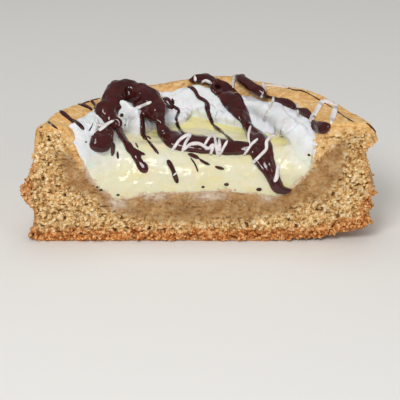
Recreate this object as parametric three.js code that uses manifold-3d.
// Half of a small, deep key lime pie, cut straight through the middle and standing on its flat
// bottom: a thick crumbly crust baked in a deep tin, a lime custard filling, a ring of whipped
// cream round the custard with one peak, and thick dark chocolate poured over all of it.
// Millimetres, +Z up. The cut faces -Y and runs along X. The origin is under the middle of the
// half, on the surface that it stands on.
import * as THREE from "three";
import { mergeVertices } from "three/addons/utils/BufferGeometryUtils.js";
import Module from "manifold-3d";

const wasm = await Module();
wasm.setup();

// Driving sizes of the crust.
const PIE_RADIUS = 47.5; // widest, a third of the way up the side
const RIM_HEIGHT = 32;
const RIM_TILT = 1; // how much higher the rim is on the right, and lower on the left
const RIM_END_RISE = 1.7; // where the knife lifted the rim at both ends of the cut
const RIM_RIPPLE = 0.6; // three low waves round the rim
const BACK_SWELL = { height: 1.3, angle: 1.4, width: 0.3 }; // a thicker stretch at the back
const SIDE_WAVE_START = 19; // from here up, the outside follows the rim's rise and fall
const WALL_WAVE_START = 26; // and from here up, the bowl's wall does
const FOOT_RADIUS = 44; // the flat bottom
const LIP_RADIUS = 45; // outer edge of the rim
const LIP_OVERHANG = 2.5; // how much further the rim hangs out at the right end of the cut
const LIP_START = 26; // height at which that overhang begins
const LIP_FULL = 29; // and at which it is complete
const FOOT_LIFT = 4.6; // how far the foot curves up at the right end of the cut
const FOOT_LIFT_START = 24; // how far right of the middle it begins
const FOOT_LIFT_TOP = 20; // height at which it has died out
const SIDE_SWELL = 0.5; // how unevenly the hand pressed the outside
const FLOOR_HEIGHT = 14.5; // top of the crust's floor under the custard
const GAP = 0.3; // left between pieces that touch

// The bowl that the filling lies in. It sits a little to the left of the crust's own middle, and
// is deeper from the cut to the back than it is wide to either side.
const BOWL_CENTRE_X = -3;
const BOWL_HALF_WIDTH = 34;
const BOWL_DEPTH = 37.5;
const BOWL_FLOOR_SHARE = 0.62; // of the bowl's radius, where the floor turns up into the wall

// The filling.
const CUSTARD_LEVEL = 25.5;
const CUSTARD_EDGE_DROP = 5; // how far the custard dips under the cream beside the wall
const EDGE_DROP_START = 0.6; // of the bowl's radius, where that dip begins
const CREAM_INNER_EDGE = 0.64; // of the bowl's radius, where the cream ring starts
const CREAM_RISE = 0.16; // of the bowl's radius, over which the ring reaches its full height
const CREAM_LIFT = 4.5; // how far the ring stands above the custard at its crest
const CREAM_SINK = 0.5; // under the custard inside the ring, so that the ring has an inner edge
const SLUMP_START = 0.8; // the soft filling ends this far behind the cut
const SLUMP_REACH = 10; // and rounds over within this distance
const RIGHT_SLUMP_REACH = 4; // where the steep right wall holds it up
const RIGHT_HOLD_START = 14; // how far right of the middle that wall begins to hold it
const RIGHT_HOLD_END = 28;
const CUSTARD_RIPPLE = 0.5;
const CREAM_RIDGES = 0.6;
const CREAM_DIP = 0.2; // how much of the custard's dip the cream follows
const PEAK = { x: -21.8, y: 19.5, height: 7.5, spread: 6 };

// The chocolate. Each route is a run of [x, y] points across the pie, from where the pour started.
const RIBBON_LIFT = 0.8; // the middle of a ribbon above what it lies on
const ARCH_WIDTH = 5.4; // over the cream's peak, then along the front of the custard
const ARCH_ROUTE = [
  [-27, 6.5],
  [-25.5, 10.5],
  [-26.5, 15],
  [-25, 20],
  [-20.5, 22.5],
  [-15, 23],
  [-11.5, 18.5],
  [-10, 11],
  [-4, 7.5],
  [6, 6],
  [17, 5],
];
const BAND_WIDTH = 4.6; // from the back of the rim forwards and down the cut
const BAND_ROUTE = [
  [-0.5, 45],
  [3, 40.5],
  [9.5, 28.5],
  [13.5, 16.5],
  [17, 5.5],
  [19.7, 2.5],
  [21.5, 1],
];
const STRAY_WIDTH = 3; // along the right of the rim
const STRAY_ROUTE = [
  [11, 44.5],
  [17, 36],
  [23.4, 27.5],
  [27.5, 17.5],
  [31.7, 5.5],
];
const DROP_PLACE = [-27, 6.5];
const DROP_RADIUS = 3.6;
const RIM_INNER_SHARE = 0.98; // of the bowl's radius, where the chocolate starts up the rim
const RIM_OUTER_SHARE = 1.08; // and where it lies on top of it

const TURN_STEPS = 80; // round the whole pie
const OUTLINE_STEPS = 6; // along each curve of an outline
const BOTTOM_RINGS = 6; // from the middle of the bottom to its edge
const GRID_STEP = 2.1;
const RIBBON_SIDES = 5; // in each half of a ribbon's section
const RIBBON_STEP = 2.5;
const BLOB_SEGMENTS = 12;
const SLAB_BASE = FLOOR_HEIGHT - 8; // anywhere below the filling

// ---- helpers -------------------------------------------------------------------------------

const mix = THREE.MathUtils.lerp;
const rise = THREE.MathUtils.smoothstep;

// 1 at the middle, fading to nothing on both sides.
function hump(value, middle, width) {
  return Math.exp(-(((value - middle) / width) ** 2));
}

// A closed mesh as a solid that can be cut and joined.
function solidOf(geometry) {
  const bare = geometry.clone();
  bare.deleteAttribute("normal");
  bare.deleteAttribute("uv");
  const merged = mergeVertices(bare, 1e-3);
  return new wasm.Manifold(
    new wasm.Mesh({
      numProp: 3,
      vertProperties: merged.attributes.position.array,
      triVerts: new Uint32Array(merged.index.array),
    }),
  );
}

// A solid as a named mesh with its own material.
function meshOf(solid, name, material) {
  const mesh = solid.getMesh();
  const geometry = new THREE.BufferGeometry();
  const positions = new Float32Array(mesh.numVert * 3);
  for (let i = 0; i < mesh.numVert; i += 1) {
    const start = i * mesh.numProp;
    positions.set(mesh.vertProperties.subarray(start, start + 3), i * 3);
  }
  geometry.setAttribute("position", new THREE.BufferAttribute(positions, 3));
  geometry.setIndex(new THREE.BufferAttribute(mesh.triVerts, 1));
  geometry.computeVertexNormals();
  const made = new THREE.Mesh(geometry, material);
  made.name = name;
  return made;
}

// Turns an outline of {radius, height} points about the Z axis and puts every point where place
// says, from the turned point's angle and its index in the outline.
function turned(outline, place) {
  const points = outline.map((p) => new THREE.Vector2(p.radius, p.height));
  const lathe = new THREE.LatheGeometry(points, TURN_STEPS);
  lathe.rotateX(Math.PI / 2);
  const position = lathe.attributes.position;
  for (let i = 0; i < position.count; i += 1) {
    const index = i % outline.length;
    const turn = Math.floor(i / outline.length) % TURN_STEPS;
    const moved = place((2 * Math.PI * turn) / TURN_STEPS, index);
    position.setXYZ(i, moved.x, moved.y, moved.z);
  }
  return solidOf(lathe);
}

// A block over the half's floor plan whose top follows height(x, y).
function slab(height) {
  const wide = 2 * PIE_RADIUS;
  const deep = PIE_RADIUS;
  const block = new THREE.BoxGeometry(
    wide,
    deep,
    1,
    Math.round(wide / GRID_STEP),
    Math.round(deep / GRID_STEP),
    1,
  );
  block.translate(0, deep / 2, 0);
  const position = block.attributes.position;
  for (let i = 0; i < position.count; i += 1) {
    const top = position.getZ(i) > 0;
    position.setZ(i, top ? height(position.getX(i), position.getY(i)) : SLAB_BASE);
  }
  return solidOf(block);
}

// ---- crust ---------------------------------------------------------------------------------

// How far the hand-pressed outside swells in and out round the pie. It is nothing at the two ends
// of the cut and at the back, where the sizes above hold.
function swell(angle) {
  return SIDE_SWELL * Math.sin(2 * angle) * Math.sin(5 * angle + 0.6);
}

// How far the rim stands above or below its usual height.
function rimWave(angle) {
  const side = Math.cos(angle);
  const back = BACK_SWELL.height * hump(angle, BACK_SWELL.angle, BACK_SWELL.width);
  const ripple = RIM_RIPPLE * Math.sin(3 * angle - 2.3);
  return RIM_TILT * side + RIM_END_RISE * side ** 24 + ripple + back;
}

// The crust's outside, from the middle of the bottom to the top of the rim.
function outsideOutline() {
  const shoulder = PIE_RADIUS - 0.9;
  const side = new THREE.Path();
  side.moveTo(0, 0);
  for (let ring = 3; ring <= BOTTOM_RINGS; ring += 1) {
    side.lineTo((FOOT_RADIUS * ring) / BOTTOM_RINGS, 0);
  }
  side.quadraticCurveTo(shoulder - 0.5, 0.4, shoulder, 5);
  side.quadraticCurveTo(2 * PIE_RADIUS - shoulder, 11.5, shoulder, 18);
  side.quadraticCurveTo(LIP_RADIUS - 0.6, 23, LIP_RADIUS, 27);
  side.quadraticCurveTo(LIP_RADIUS, RIM_HEIGHT, LIP_RADIUS - 3, RIM_HEIGHT);
  return side.getPoints(OUTLINE_STEPS).map((p) => ({ radius: p.x, height: p.y }));
}

// The bowl's wall and floor, from the rim's inner edge to the middle. Each radius is a share of the
// bowl's own, and wave is the share of the rim's rise and fall that the point follows.
function wallPoints(wall, inset) {
  wall.lineTo(0, FLOOR_HEIGHT);
  return wall.getPoints(OUTLINE_STEPS).map((p) => ({
    radius: p.x - (inset / BOWL_HALF_WIDTH) * (p.x > 0 ? 1 : 0),
    height: p.y + inset,
    wave: rise(p.y, WALL_WAVE_START, RIM_HEIGHT),
  }));
}

// At its left end the wall slopes all the way from the rim to the floor.
function leftWall(inset) {
  const wall = new THREE.Path();
  wall.moveTo(1.03, RIM_HEIGHT - 0.4);
  wall.quadraticCurveTo(0.965, RIM_HEIGHT - 1, 0.92, 28);
  wall.quadraticCurveTo(0.86, 18.5, BOWL_FLOOR_SHARE - 0.04, FLOOR_HEIGHT + 0.3);
  return wallPoints(wall, inset);
}

// At its right end the wall is steep, under a broad rim.
function rightWall(inset) {
  const wall = new THREE.Path();
  wall.moveTo(1.07, RIM_HEIGHT - 0.2);
  wall.quadraticCurveTo(1, RIM_HEIGHT - 1, 0.97, 27);
  wall.quadraticCurveTo(0.95, 16, BOWL_FLOOR_SHARE + 0.04, FLOOR_HEIGHT + 0.1);
  return wallPoints(wall, inset);
}

// Where a point of the bowl stands. left and right are the same point of the two walls, and the
// wall turns from one into the other round the bowl's own oval.
function placeInBowl(angle, left, right) {
  const side = (1 + Math.cos(angle)) / 2;
  const share = mix(left.radius, right.radius, side);
  const height = mix(left.height, right.height, side);
  return {
    x: BOWL_CENTRE_X + share * BOWL_HALF_WIDTH * Math.cos(angle),
    y: share * BOWL_DEPTH * Math.sin(angle),
    z: height + rimWave(angle) * mix(left.wave, right.wave, side),
  };
}

// Where a point of the outside stands. Towards the right end of the cut the rim hangs out and the
// foot curves up.
function placeOnSide(angle, { radius, height }) {
  const lip = LIP_OVERHANG * rise(height, LIP_START, LIP_FULL) * rise(Math.cos(angle), 0.5, 1);
  const reach = radius + (radius > FOOT_RADIUS ? swell(angle) : 0);
  const lifted = FOOT_LIFT * rise(radius * Math.cos(angle), FOOT_LIFT_START, PIE_RADIUS);
  return {
    x: reach * Math.cos(angle) + lip * (radius > LIP_RADIUS - 2 ? 1 : 0.5),
    y: reach * Math.sin(angle),
    z:
      mix(height + lifted, height, rise(height, 0, FOOT_LIFT_TOP)) +
      rimWave(angle) * rise(height, SIDE_WAVE_START, RIM_HEIGHT),
  };
}

function wholeCrust() {
  const outside = outsideOutline();
  const left = leftWall(0);
  const right = rightWall(0);
  return turned([...outside, ...left], (angle, index) =>
    index < outside.length
      ? placeOnSide(angle, outside[index])
      : placeInBowl(angle, left[index - outside.length], right[index - outside.length]),
  );
}

// Everything that fits in the bowl, clear of its wall, up to well above the rim.
function bowlSpace() {
  const above = 2 * RIM_HEIGHT;
  const raised = (wall) => [
    { radius: 0, height: above, wave: 0 },
    { radius: wall[0].radius, height: above, wave: 0 },
    ...wall,
  ];
  const left = raised(leftWall(GAP)).reverse();
  const right = raised(rightWall(GAP)).reverse();
  return turned(left, (angle, index) => placeInBowl(angle, left[index], right[index]));
}

// ---- filling -------------------------------------------------------------------------------

// 0 in the middle of the bowl and 1 at its wall.
function bowlShare(x, y) {
  return Math.hypot((x - BOWL_CENTRE_X) / BOWL_HALF_WIDTH, y / BOWL_DEPTH);
}

// Soft filling sags at the cut: 0 at its foot and 1 where the top is whole.
function slump(x, y) {
  const held = rise(x, RIGHT_HOLD_START, RIGHT_HOLD_END);
  const reach = mix(SLUMP_REACH, RIGHT_SLUMP_REACH, held);
  const along = THREE.MathUtils.clamp((y - SLUMP_START) / reach, 0, 1);
  return Math.sqrt(1 - (1 - along) ** 2);
}

function sagged(height, x, y) {
  const foot = y < SLUMP_START ? FLOOR_HEIGHT - 1 : FLOOR_HEIGHT;
  return mix(foot, height, slump(x, y));
}

// The custard's level without its ripple, lower towards the wall.
function dippedLevel(share) {
  return CUSTARD_LEVEL - CUSTARD_EDGE_DROP * rise(share, EDGE_DROP_START, 1);
}

function custardTop(x, y) {
  const ripple = CUSTARD_RIPPLE * Math.sin(x / 5 + y / 9);
  return sagged(dippedLevel(bowlShare(x, y)) + ripple, x, y);
}

// The cream was piped in one sweep, so its crest is ridged across the sweep.
function creamTop(x, y) {
  const share = bowlShare(x, y);
  const angle = Math.atan2(y, x - BOWL_CENTRE_X);
  const ring = rise(share, CREAM_INNER_EDGE, CREAM_INNER_EDGE + CREAM_RISE);
  const ridges = CREAM_RIDGES * Math.sin(9 * angle + 10 * share);
  const level = mix(CUSTARD_LEVEL, dippedLevel(share), CREAM_DIP) - mix(CREAM_SINK, 0, ring);
  const away = Math.hypot(x - PEAK.x, y - PEAK.y) / PEAK.spread;
  const peak = PEAK.height * Math.exp(-(away ** 2) / 2);
  return sagged(level + (CREAM_LIFT + ridges) * ring + peak, x, y);
}

function fillingTop(x, y) {
  return Math.max(custardTop(x, y), creamTop(x, y));
}

// ---- chocolate -----------------------------------------------------------------------------

// The height of whatever the chocolate lands on: the filling, or the crust's rim beyond it.
function landing(x, y) {
  const share = bowlShare(x, y);
  const rim = RIM_HEIGHT + rimWave(Math.atan2(y, x));
  return mix(fillingTop(x, y), rim, rise(share, RIM_INNER_SHARE, RIM_OUTER_SHARE));
}

// A poured ribbon of round section along a route of [x, y] points. Its middle runs a little above
// what it lands on, so that the sunken half is cut away later.
function ribbon(route, width, lift) {
  const points = route.map(([x, y]) => new THREE.Vector3(x, y, landing(x, y) + lift));
  const path = new THREE.CatmullRomCurve3(points, false, "centripetal");
  const section = new THREE.Shape();
  section.absarc(0, 0, width / 2, 0, 2 * Math.PI);
  const tube = new THREE.ExtrudeGeometry(section, {
    bevelEnabled: false,
    curveSegments: RIBBON_SIDES,
    extrudePath: path,
    steps: Math.round(path.getLength() / RIBBON_STEP),
  });
  return solidOf(tube);
}

// A round blob of chocolate where a ribbon starts, ends or pools.
function blob(x, y, radius) {
  const ball = new THREE.SphereGeometry(radius, BLOB_SEGMENTS, BLOB_SEGMENTS / 1.5);
  ball.translate(x, y, landing(x, y) + RIBBON_LIFT);
  return solidOf(ball);
}

function joined(solids) {
  return solids.reduce((all, one) => all.add(one));
}

// ---- the half pie --------------------------------------------------------------------------

// The side of the cut that is kept.
function keptSide() {
  const size = 4 * PIE_RADIUS;
  const block = new THREE.BoxGeometry(size, size, size);
  block.translate(0, size / 2, 0);
  return solidOf(block);
}

const kept = keptSide();
const crust = wholeCrust().intersect(kept);
const space = bowlSpace().intersect(kept);
const custard = slab(custardTop).intersect(space);
const custardClear = slab((x, y) => custardTop(x, y) + GAP);
const cream = slab(creamTop).intersect(space).subtract(custardClear);
const fillingClear = slab((x, y) => fillingTop(x, y) + GAP);
const below = crust.add(crust.translate([0, 0, GAP])).add(fillingClear);

const swirl = joined([
  ribbon(ARCH_ROUTE, ARCH_WIDTH, RIBBON_LIFT),
  ribbon(BAND_ROUTE, BAND_WIDTH, RIBBON_LIFT),
  blob(...DROP_PLACE, DROP_RADIUS),
])
  .intersect(kept)
  .subtract(below);
const stray = ribbon(STRAY_ROUTE, STRAY_WIDTH, RIBBON_LIFT).intersect(kept).subtract(below);

const baked = new THREE.MeshStandardMaterial({ color: 0xd0a873, roughness: 0.9, metalness: 0 });
const lime = new THREE.MeshStandardMaterial({ color: 0xebe6bd, roughness: 0.35, metalness: 0 });
const whipped = new THREE.MeshStandardMaterial({ color: 0xeff0ee, roughness: 0.6, metalness: 0 });
const cocoa = new THREE.MeshStandardMaterial({ color: 0x3b1d18, roughness: 0.25, metalness: 0 });

const pie = new THREE.Group();
pie.add(
  meshOf(crust, "crust", baked),
  meshOf(custard, "lime_custard", lime),
  meshOf(cream, "whipped_cream", whipped),
  meshOf(swirl, "chocolate_swirl", cocoa),
  meshOf(stray, "chocolate_ribbon", cocoa),
);
// The cut lies at y = 0 above. The origin belongs under the middle of the half.
pie.position.y = -PIE_RADIUS / 2;

export default pie;
